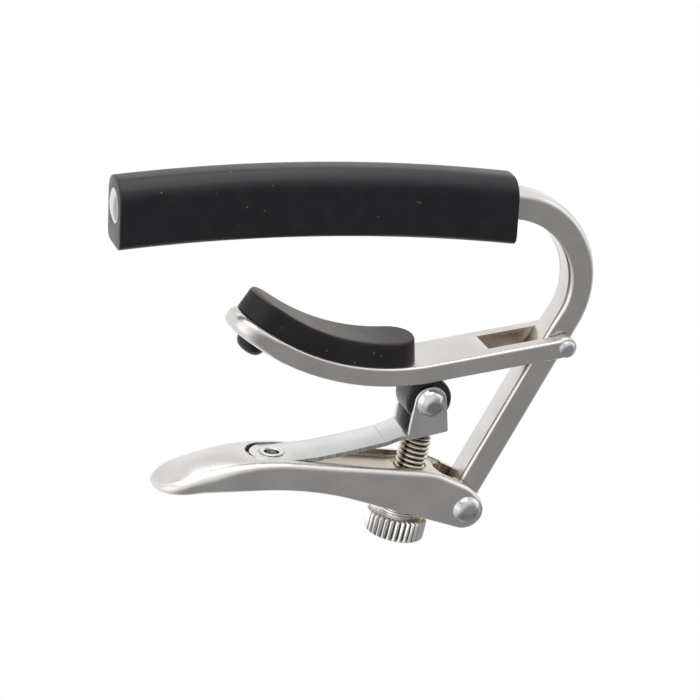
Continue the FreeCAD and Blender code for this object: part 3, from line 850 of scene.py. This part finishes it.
class Shader:
    """A new material with its own small node tree, its coordinates in millimetres."""

    def __init__(self, name, colour, metallic, roughness):
        self.material = bpy.data.materials.new(name)
        self.material.use_nodes = True
        self.tree = self.material.node_tree
        self.surface = self.tree.nodes["Principled BSDF"]
        self.surface.inputs["Base Color"].default_value = (*colour, 1)
        self.surface.inputs["Metallic"].default_value = metallic
        self.surface.inputs["Roughness"].default_value = roughness
        self.place = self.node("TexCoord")
        scaled = self.node("Mapping", {"Vector": self.place.outputs["Object"], "Scale": (1000, 1000, 1000)})
        self.spot = scaled.outputs["Vector"]

    def node(self, kind, inputs=None, **settings):
        return add_node(self.tree, kind, inputs, **settings)

    def stretched(self, turn, scale):
        """Coordinates turned about Y, then scaled along each axis, for brushed marks."""
        turned = self.node("Mapping", {"Vector": self.spot, "Rotation": (0, math.radians(turn), 0)})
        return self.node("Mapping", {"Vector": turned.outputs["Vector"], "Scale": scale}).outputs["Vector"]

    def noise(self, scale, detail=3.0, where=None):
        inputs = {"Vector": where or self.spot, "Scale": scale, "Detail": detail}
        return self.node("TexNoise", inputs).outputs["Fac"]

    def ramp(self, value, stops):
        node = self.node("ValToRGB", {"Fac": value})
        while len(node.color_ramp.elements) < len(stops):
            node.color_ramp.elements.new(0.5)
        for element, (position, colour) in zip(node.color_ramp.elements, stops):
            element.position = position
            element.color = (*colour, 1)
        return node.outputs["Color"]

    def grey_ramp(self, value, low, high, start=0.3, end=0.7):
        return self.ramp(value, [(start, (low,) * 3), (end, (high,) * 3)])

    def mix(self, factor, first, second, blend="MIX"):
        node = self.node("Mix", data_type="RGBA", blend_type=blend)
        for name, value in (("Factor", factor), ("A", first), ("B", second)):
            target = [s for s in node.inputs if s.name == name and s.enabled][0]
            if isinstance(value, bpy.types.NodeSocket):
                self.tree.links.new(value, target)
            else:
                target.default_value = (*value, 1) if isinstance(value, tuple) else value
        return [s for s in node.outputs if s.enabled][0]

    def link(self, value, name):
        self.tree.links.new(value, self.surface.inputs[name])

    def colour(self):
        """What now feeds the base colour, as a link or as a plain colour."""
        socket = self.surface.inputs["Base Color"]
        return socket.links[0].from_socket if socket.links else tuple(socket.default_value)[:3]

    def along(self, axis):
        """Place on the piece along one of its axes."""
        return self.node("SeparateXYZ", {"Vector": self.spot}).outputs[axis]

    def facing(self, axis):
        """How squarely the surface faces one of the piece's axes, from -1 to 1."""
        return self.node("SeparateXYZ", {"Vector": self.place.outputs["Normal"]}).outputs[axis]

    def off_axis(self, foot, axis):
        """Distance from a line through a point in the given direction."""
        away = self.node("VectorMath", {0: self.spot, 1: foot}, operation="SUBTRACT")
        cross = self.node("VectorMath", {0: away.outputs["Vector"], 1: axis}, operation="CROSS_PRODUCT")
        return self.node("VectorMath", {0: cross.outputs["Vector"]}, operation="LENGTH").outputs["Value"]

    def off_screw(self):
        """Distance from the thumbscrew's axis."""
        return self.off_axis(at(SCREW_FOOT[0], SCREW_FOOT[1] + FRAME_LIFT), SCREW_AXIS)

    def step(self, value, start, end):
        """Smooth rise from nought at start to one at end."""
        if start > end:
            return smooth_step(self.tree, value, end, start, 1, 0)
        return smooth_step(self.tree, value, start, end, 0, 1)

    def within(self, value, low, high, blur):
        """One where a value lies between two limits, nought outside, blurred at both."""
        above = self.step(value, low - blur, low + blur)
        return self.all_of(above, self.step(value, high + blur, high - blur))

    def all_of(self, *masks):
        result = masks[0]
        for mask in masks[1:]:
            result = self.mix(1.0, result, mask, "MULTIPLY")
        return result

    def tint(self, mask, colour):
        self.link(self.mix(mask, self.colour(), colour), "Base Color")

    def bump(self, value, height):
        """Raises the surface by a pattern of the given height, on top of earlier ones."""
        node = self.node("Bump", {"Height": value, "Distance": height * MM})
        before = self.surface.inputs["Normal"]
        if before.links:
            self.tree.links.new(before.links[0].from_socket, node.inputs["Normal"])
        self.tree.links.new(node.outputs["Normal"], before)


def satin_steel(name, colour, roughness, turn=0.0):
    """Bead-blasted then lightly brushed stainless steel."""
    shader = Shader(name, colour, 1.0, roughness)
    grain = shader.noise(6.0, 4.0)
    brushed = shader.noise(1.0, 2.0, shader.stretched(turn, (0.5, 9.0, 9.0)))
    darker = tuple(c * 0.95 for c in colour)
    lighter = tuple(min(1, c * 1.03) for c in colour)
    shader.link(shader.ramp(shader.noise(0.18, 2.0), [(0.35, darker), (0.65, lighter)]), "Base Color")
    shader.link(shader.grey_ramp(brushed, roughness - 0.04, roughness + 0.05), "Roughness")
    shader.bump(grain, 0.0004)
    shader.bump(brushed, 0.0005)
    return shader


def polished_steel(name, colour, roughness):
    """Polished plated metal with faint handling marks."""
    shader = Shader(name, colour, 1.0, roughness)
    marks = shader.noise(1.4, 4.0, shader.stretched(20, (0.5, 4.0, 4.0)))
    shader.link(shader.grey_ramp(marks, roughness * 0.7, roughness * 1.6), "Roughness")
    shader.bump(shader.noise(2.5, 3.0), 0.002)
    return shader.material


def rubber(name, colour, roughness, dust, grain_height):
    """Black rubber with a soft sheen, faint rubbed patches and scratches and a little pale dust."""
    shader = Shader(name, colour, 0.0, roughness)
    shader.surface.inputs["Specular IOR Level"].default_value = 0.34
    pale = (0.2, 0.2, 0.2)
    dusty = (0.22, 0.22, 0.22)
    pale_tone = tuple(min(1, c * 1.3 + 0.001) for c in colour)
    patches = shader.noise(0.35, 4.0)
    base = shader.ramp(patches, [(0.4, colour), (0.7, pale_tone)])
    specks = shader.node("TexVoronoi", {"Vector": shader.spot, "Scale": 0.9}).outputs["Distance"]
    near = shader.grey_ramp(specks, 1.0, 0.0, 0.05, 0.11)
    some = shader.grey_ramp(shader.noise(0.9, 1.0), 0.0, 1.0, 0.62 - dust, 0.66 - dust)
    scratch = shader.noise(1.0, 1.0, shader.stretched(38, (0.22, 5.0, 8.0)))
    base = shader.mix(shader.grey_ramp(scratch, 0.0, 0.1, 0.72, 0.76), base, pale)
    shader.link(shader.mix(shader.all_of(near, some), base, dusty), "Base Color")
    shader.link(shader.grey_ramp(patches, roughness - 0.04, roughness + 0.05), "Roughness")
    shader.bump(shader.noise(9.0, 3.0), grain_height)
    return shader


def black_plastic(name):
    """Turned black plastic with fine lines round the roller."""
    shader = Shader(name, (0.012, 0.012, 0.013), 0.0, 0.3)
    lines = shader.noise(1.0, 2.0, shader.stretched(0, (6.0, 0.4, 6.0)))
    shader.link(shader.grey_ramp(lines, 0.24, 0.42), "Roughness")
    shader.bump(lines, 0.004)
    return shader.material


# ---- stage, lights and camera ----

# Lengths in this section, apart from the camera's, are metres.
FLOOR_HEIGHT = -0.17
FLOOR_WIDE = 5.0
BRIGHT_TONE = 1.08
DARK_TONE = 0.33
DARK_SIDE = (0.45, -0.70, -0.55)
SHADE_TONE = 0.8
SHADE_SIDE = (-0.05, 0.66, 0.75)

# Name, place, size and brightness of each lamp.
LAMPS = [("overhead", (-0.05, 0.0, 0.55), (0.75, 0.6), 1.45), ("left", (-0.6, -0.25, 0.1), (0.5, 0.6), 0.5),
         ("right", (0.6, -0.1, 0.2), (0.3, 0.5), 0.5)]
LAMP_TARGET = (0.005, 0, -0.02)


def seen_or_lit(tree, lit):
    """Shader that is plain white where it is seen, and another where it lights the metal."""
    path = add_node(tree, "LightPath")
    choice = add_node(tree, "MixShader", {0: path.outputs["Is Camera Ray"], 1: lit, 2: glow(tree, 1.0)})
    return choice.outputs["Shader"]


def surroundings(tree, place):
    """Brightness of the white room by direction from the capo, darker in front and high at the back."""
    direction = add_node(tree, "VectorMath", {0: place}, operation="NORMALIZE").outputs["Vector"]
    tones = []
    for side, start, end, low, high in ((DARK_SIDE, 0.16, 0.74, BRIGHT_TONE, DARK_TONE),
                                        (SHADE_SIDE, 0.86, 0.98, 1.0, SHADE_TONE)):
        inputs = {0: direction, 1: Vector(side).normalized()}
        towards = add_node(tree, "VectorMath", inputs, operation="DOT_PRODUCT").outputs["Value"]
        tones.append(smooth_step(tree, towards, start, end, low, high))
    return add_node(tree, "Math", {0: tones[0], 1: tones[1]}, operation="MULTIPLY").outputs["Value"]


def glow(tree, strength):
    """White glow, its strength given as a value or as a link."""
    return add_node(tree, "Emission", {"Color": (1, 1, 1, 1), "Strength": strength}).outputs["Emission"]


def make_floor():
    """White sheet under the capo."""
    bm = bmesh.new()
    half = FLOOR_WIDE / 2
    corners = [(-half, -half), (half, -half), (half, half), (-half, half)]
    bm.faces.new([bm.verts.new((x, y, FLOOR_HEIGHT)) for x, y in corners])
    floor = finish_mesh("floor", bm)
    material = bpy.data.materials.new("floor_white")
    material.use_nodes = True
    tree = material.node_tree
    place = tree.nodes.new("ShaderNodeNewGeometry").outputs["Position"]
    lit = glow(tree, surroundings(tree, place))
    tree.links.new(seen_or_lit(tree, lit), tree.nodes["Material Output"].inputs["Surface"])
    floor.data.materials.append(material)


def soft_light(name, place, size, glow_level):
    """Rectangular lamp aimed at the capo, its glow given as brightness per area."""
    lamp = bpy.data.lights.new(name, "AREA")
    lamp.shape = "RECTANGLE"
    lamp.size, lamp.size_y = size
    lamp.energy = glow_level * math.pi * size[0] * size[1]
    holder = bpy.data.objects.new(name, lamp)
    holder.location = place
    aim = Vector(LAMP_TARGET) - Vector(place)
    holder.rotation_euler = aim.to_track_quat("-Z", "Y").to_euler()
    bpy.context.scene.collection.objects.link(holder)


def make_world():
    """White room round the capo."""
    world = bpy.data.worlds.new("studio")
    bpy.context.scene.world = world
    world.use_nodes = True
    tree = world.node_tree
    place = tree.nodes.new("ShaderNodeTexCoord").outputs["Generated"]
    room = tree.nodes["Background"]
    room.inputs["Color"].default_value = (1, 1, 1, 1)
    tree.links.new(surroundings(tree, place), room.inputs["Strength"])
    shown = seen_or_lit(tree, room.outputs["Background"])
    tree.links.new(shown, tree.nodes["World Output"].inputs["Surface"])


CAMERA_TURN = 17.5
CAMERA_DIP = 22.0
CAMERA_ROLL = 5.45
CAMERA_LENS = 138.857
CAMERA_REACH = 409.09
CAMERA_AIM = (5.3, -20.1)


def make_camera():
    """Long lens, left of the front and a little above, rolled about the capo's Y axis."""
    roll = Matrix.Rotation(-math.radians(CAMERA_ROLL), 4, "Y")
    turn = Matrix.Rotation(-math.radians(CAMERA_TURN), 4, "Z")
    dip = Matrix.Rotation(math.radians(90 - CAMERA_DIP), 4, "X")
    axes = roll @ turn @ dip
    place = (roll @ at(*CAMERA_AIM) + axes @ at(0, CAMERA_REACH) + at(0, FRAME_LIFT)) * MM
    lens = bpy.data.cameras.new("camera")
    lens.lens = CAMERA_LENS
    lens.sensor_width = 36
    lens.clip_start = 0.01
    camera = bpy.data.objects.new("camera", lens)
    camera.matrix_world = Matrix.Translation(place) @ axes
    bpy.context.scene.collection.objects.link(camera)
    bpy.context.scene.camera = camera


# ---- the whole capo ----

def add(piece, body, slot, material, *nodes):
    """Lifts a finished piece, scales it to metres and puts it on its body for its CAD nodes."""
    piece.data.transform(Matrix.Scale(MM, 4) @ Matrix.Translation((0, 0, FRAME_LIFT)))
    piece.data.materials.clear()
    piece.data.materials.append(material)
    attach(piece, body)
    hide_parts(*nodes)


def bar_material():
    """Satin steel, with a painted shade line in the fold of its near inner chamfer and a painted dark
    reflection on the near flank of its dome.
    """
    shader = satin_steel("bar_steel", (0.66, 0.64, 0.615), 0.24)
    painted_dark_flank = (0.36, 0.36, 0.35)
    painted_crease_shade = (0.22, 0.19, 0.16)
    dome_part = shader.within(shader.along("X"), BAR_LEFT_END - 2, BAR_LEFT_END + 0.3, 0.05)
    near_flank = shader.step(shader.facing("Y"), -0.12, -0.24)
    # Painted dark reflection: the dull colour on the dome's near flank.
    shader.tint(shader.all_of(dome_part, near_flank), painted_dark_flank)
    inner = shader.step(shader.facing("X"), -0.2, -0.35)
    past_sleeve = shader.step(shader.along("X"), 24, 26)
    fold = BAR_CHAMFER - BAR_WIDE / 2
    line = shader.within(shader.along("Y"), fold - 0.26, fold + 0.1, 0.04)
    # Painted shade: a dark line along the fold of the near inner chamfer.
    shader.tint(shader.all_of(inner, past_sleeve, line), painted_crease_shade)
    return shader.material


def arm_material():
    """Satin steel, with painted brownish shade on the walls inside the slot."""
    shader = satin_steel("arm_steel", (0.67, 0.645, 0.615), 0.3, -8)
    painted_slot_shade = (0.50, 0.43, 0.36)
    half = ARM_SLOT_WIDE / 2 + 0.1
    across = shader.within(shader.along("Y"), -half, half, 0.05)
    down = shader.within(shader.along("X"), ARM_SLOT_START - 0.3, ARM_PIVOT[0] - 1.2, 0.3)
    upright = shader.step(shader.facing("Z"), 0.8, 0.6)
    # Painted shade: a darker brown on the walls inside the slot.
    shader.tint(shader.all_of(across, down, upright), painted_slot_shade)
    return shader.material


def lever_material():
    """Satin steel, with warm brown tarnish in the pocket and painted shade on the pocket's walls."""
    shader = satin_steel("lever_steel", (0.685, 0.66, 0.635), 0.3)
    tarnish = (0.64, 0.58, 0.49)
    painted_wall_shade = (0.44, 0.37, 0.29)
    white = (1.0, 1.0, 1.0)
    x, z, radius = LEVER_CREST
    sunk = shader.step(shader.off_axis(at(x, z + FRAME_LIFT), SIDE), radius - 0.3, radius - 0.7)
    past_crest = shader.step(shader.along("X"), 0.5, 3)
    half = POCKET_WIDE / 2 + 0.1
    inside = shader.all_of(shader.within(shader.along("Y"), -half, half, 0.08),
                           shader.within(shader.along("Z"), -46, -30, 0.4),
                           shader.within(shader.along("X"), POCKET_LEFT_END - 0.3, 30, 0.1),
                           shader.mix(past_crest, sunk, white))
    shader.tint(inside, tarnish)
    # Painted shade: the pocket's walls are darker than its floor.
    shader.tint(shader.all_of(inside, shader.step(shader.facing("Z"), 0.8, 0.5)), painted_wall_shade)
    return shader.material


def strap_material():
    """Brighter sheet steel, with painted shade along the scored fold and streaks of painted shade on its
    sheared edges.
    """
    shader = satin_steel("strap_steel", (0.685, 0.68, 0.672), 0.2, -12)
    painted_crease_shade = (0.16, 0.14, 0.12)
    painted_dark_flank = (0.42, 0.43, 0.45)
    score = shader.within(shader.along("X"), STRAP_FOLD - 0.06, STRAP_FOLD + 0.06, 0.03)
    # Painted shade: a dark line along the scored fold.
    shader.tint(shader.all_of(score, shader.step(shader.facing("Z"), 0.5, 0.8)), painted_crease_shade)
    nicks = shader.noise(1.0, 1.0, shader.stretched(0, (3.4, 0.1, 0.1)))
    before_clevis = shader.step(shader.along("X"), CLEVIS_START - 0.2, CLEVIS_START - 0.6)
    edges = shader.within(shader.facing("Z"), -0.4, 0.4, 0.1)
    # Painted shade on the sheared edges, in streaks where the shear left nicks.
    shader.tint(shader.all_of(edges, before_clevis, shader.step(nicks, 0.35, 0.62)), painted_dark_flank)
    return shader.material


def pad_material():
    """Black rubber, paler on its face towards the neck, palest at its left end."""
    shader = rubber("pad_rubber", (0.0105, 0.0085, 0.0082), 0.55, 0.03, 0.006)
    least = (0.3, 0.3, 0.3)
    most = (1.0, 1.0, 1.0)
    pale_tone = (0.135, 0.12, 0.105)
    top = shader.step(shader.facing("Z"), 0.66, 0.85)
    amount = shader.mix(shader.step(shader.along("X"), 16, -1), least, most)
    shader.tint(shader.all_of(top, amount), pale_tone)
    return shader.material


def thread_material():
    """Nickel plate, with painted shade darkening the thread's roots."""
    shader = Shader("screw_nickel", (0.66, 0.62, 0.56), 1.0, 0.2)
    # Painted shade: dark colour in the thread's roots, near the axis.
    shader.tint(shader.step(shader.off_screw(), SCREW_RADIUS - 0.2, SCREW_RADIUS - 0.42), (0.12, 0.10, 0.08))
    shader.bump(shader.noise(2.5, 3.0), 0.002)
    return shader.material


def rivet_material():
    """Polished rivet steel with the dents of the setting tool on its domes, and painted dark reflections on
    the dents.
    """
    shader = Shader("rivet_polished", (0.60, 0.595, 0.62), 1.0, 0.1)
    dents_and_painted_reflections = shader.noise(0.36, 1.0)
    shader.bump(dents_and_painted_reflections, 0.4)
    # Painted dark reflections: the colour is darkened where the dents are.
    shader.tint(shader.step(dents_and_painted_reflections, 0.42, 0.6), (0.40, 0.395, 0.42))
    return shader.material


def nickel_plate(name, start, end, groove_shade):
    """Bright nickel plate, with painted shade in the grooves that lie between two distances from the screw's
    axis.
    """
    shader = Shader(name, (0.90, 0.89, 0.87), 1.0, 0.22)
    groove = shader.step(shader.off_screw(), start, end)
    side = shader.within(shader.facing("Z"), -0.5, 0.6, 0.1)
    # Painted shade in the grooves.
    shader.tint(shader.all_of(groove, side), groove_shade)
    shader.bump(shader.noise(2.5, 3.0), 0.003)
    return shader.material


def main():
    rivet_steel = rivet_material()
    eyelet_steel = polished_steel("eyelet_steel", (0.72, 0.71, 0.69), 0.16)
    # Colours of painted shade for the head's knurls and the collar's grooves.
    head_nickel = nickel_plate("head_nickel", HEAD_RADIUS - 0.16, HEAD_RADIUS - 0.38, (0.34, 0.33, 0.31))
    groove_shade = (0.12, 0.11, 0.10)
    collar_nickel = nickel_plate("collar_nickel", COLLAR_RADIUS - 0.03, COLLAR_RADIUS - 0.12, groove_shade)
    sleeve_rubber = rubber("sleeve_rubber", (0.0105, 0.0085, 0.0112), 0.35, 0.0, 0.0015).material
    bumper_rubber = rubber("bumper_rubber", (0.007, 0.007, 0.0075), 0.4, 0.0, 0.003).material

    add(make_frame_bar(), "frame", "bar_steel", bar_material(), "frame_bar")
    add(make_sleeve(), "frame", "sleeve_rubber", sleeve_rubber, "bar_sleeve")
    add(make_arm(), "arm", "arm_steel", arm_material(), "arm")
    add(make_neck_pad(), "arm", "pad_rubber", pad_material(), "neck_pad")
    add(make_bumper(), "arm", "bumper_rubber", bumper_rubber, "arm_bumper")
    add(make_rivet("arm_rivet_polished", ARM_PIVOT, ARM_RIVET, ARM_WIDE),
        "arm", "rivet_polished", rivet_steel, "arm_pivot_rivet")
    add(make_lever(), "lever", "lever_steel", lever_material(), "lever")
    add(make_rivet("lever_rivet_polished", LEVER_PIVOT, LEVER_RIVET, LEVER_WIDE),
        "lever", "rivet_polished", rivet_steel, "lever_pivot_rivet")
    add(make_eyelet(), "lever", "eyelet_steel", eyelet_steel, "strap_rivet")
    add(make_strap(), "strap", "strap_steel", strap_material(), "spring_strap")
    add(make_rivet("roller_rivet_polished", ROLLER_AXIS, ROLLER_RIVET, CLEVIS_WIDE),
        "strap", "rivet_polished", rivet_steel, "roller_rivet")
    add(make_roller(), "roller", "roller_plastic", black_plastic("roller_plastic"), "roller")
    add(make_stud(), "thumbscrew", "screw_nickel", thread_material(), "screw_stud")
    add(make_head(), "thumbscrew", "head_nickel", head_nickel, "screw_head")
    add(make_collar(), "collar", "screw_nickel", collar_nickel, "screw_collar")

    make_floor()
    make_world()
    make_camera()
    for lamp in LAMPS:
        soft_light(*lamp)
    bpy.context.scene.view_settings.view_transform = "Standard"


main()
